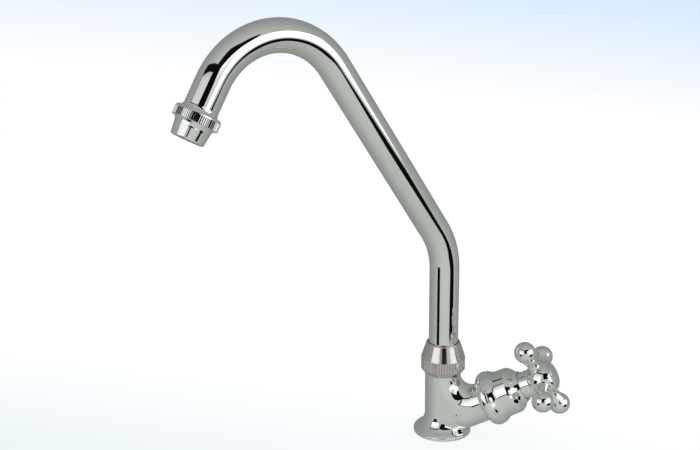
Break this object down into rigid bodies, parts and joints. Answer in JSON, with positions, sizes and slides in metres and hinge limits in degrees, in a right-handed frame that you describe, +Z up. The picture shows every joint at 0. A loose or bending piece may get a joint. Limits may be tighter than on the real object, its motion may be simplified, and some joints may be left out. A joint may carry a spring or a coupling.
{
  "type": "kitchen tap",
  "caption": "Deck-mounted kitchen tap: high swivel spout with an aerator, inclined side valve under a bell cover, and a cross handle with ball ends on a rising spindle.",
  "frame": {"origin": "centre of the flange's underside, where the tap sits on the worktop", "axes": "+Z up along the column and the spout's swivel; +X along the plan of the inclined branch, from the column towards the cross handle; +Y completes a right-handed frame; at rest the spout's arch lies over azimuth 231 degrees from +X"},
  "size_m": [0.2304, 0.1971, 0.3855],
  "materials": {
    "polished_chrome": "mirror-polished chrome plate over brass",
    "satin_chrome": "turned chrome plate, slightly duller and warmer",
    "raw_brass": "machined, unplated",
    "black_rubber": "moulded nitrile rubber",
    "zinc_steel": "zinc-plated pressed steel",
    "white_acetal": "moulded acetal",
    "grey_packing": "pressed fibre and graphite packing",
    "steel_mesh": "stainless steel mesh"
  },
  "bodies": {
    "tap": {"tap_body": "polished_chrome", "inlet_tail": "raw_brass", "base_gasket": "black_rubber", "deck_rubber": "black_rubber", "clamp_washer": "zinc_steel", "backnut": "raw_brass", "headwork_body": "raw_brass", "headwork_joint": "grey_packing", "headwork_cover": "polished_chrome", "gland_packing": "grey_packing", "gland_nut": "raw_brass", "spout_nut": "satin_chrome", "slip_ring": "white_acetal"},
    "spout": {"spout_tube": "polished_chrome", "spout_bush": "raw_brass", "spout_seals": "black_rubber", "spout_tip": "polished_chrome", "aerator_housing": "polished_chrome", "aerator_washer": "black_rubber", "aerator_insert": "white_acetal", "aerator_screen": "steel_mesh"},
    "jumper": {"jumper": "raw_brass", "seat_washer": "black_rubber", "washer_nut": "raw_brass"},
    "spindle": {"spindle": "raw_brass", "cross_handle": "polished_chrome", "handle_screw": "raw_brass", "index_cap": "polished_chrome"}
  },
  "joints": [
    {"name": "spout_swivel", "type": "hinge", "parent": "tap", "child": "spout", "pos_m": [0, 0, 0.05], "axis": [0, 0, 1], "continuous": true},
    {"name": "jumper_lift", "type": "slide", "parent": "tap", "child": "jumper", "axis": [0.8712, 0, 0.4909], "range_m": [0, 0.00375]},
    {"name": "spindle_turn", "type": "hinge", "parent": "jumper", "child": "spindle", "pos_m": [0.04356, 0, 0.03424], "axis": [0.8712, 0, 0.4909], "range_deg": [0, 540]}
  ],
  "couplings": [
    {"joint": "jumper_lift", "follows": "spindle_turn", "m_per_rad": 0.00039789}
  ]
}
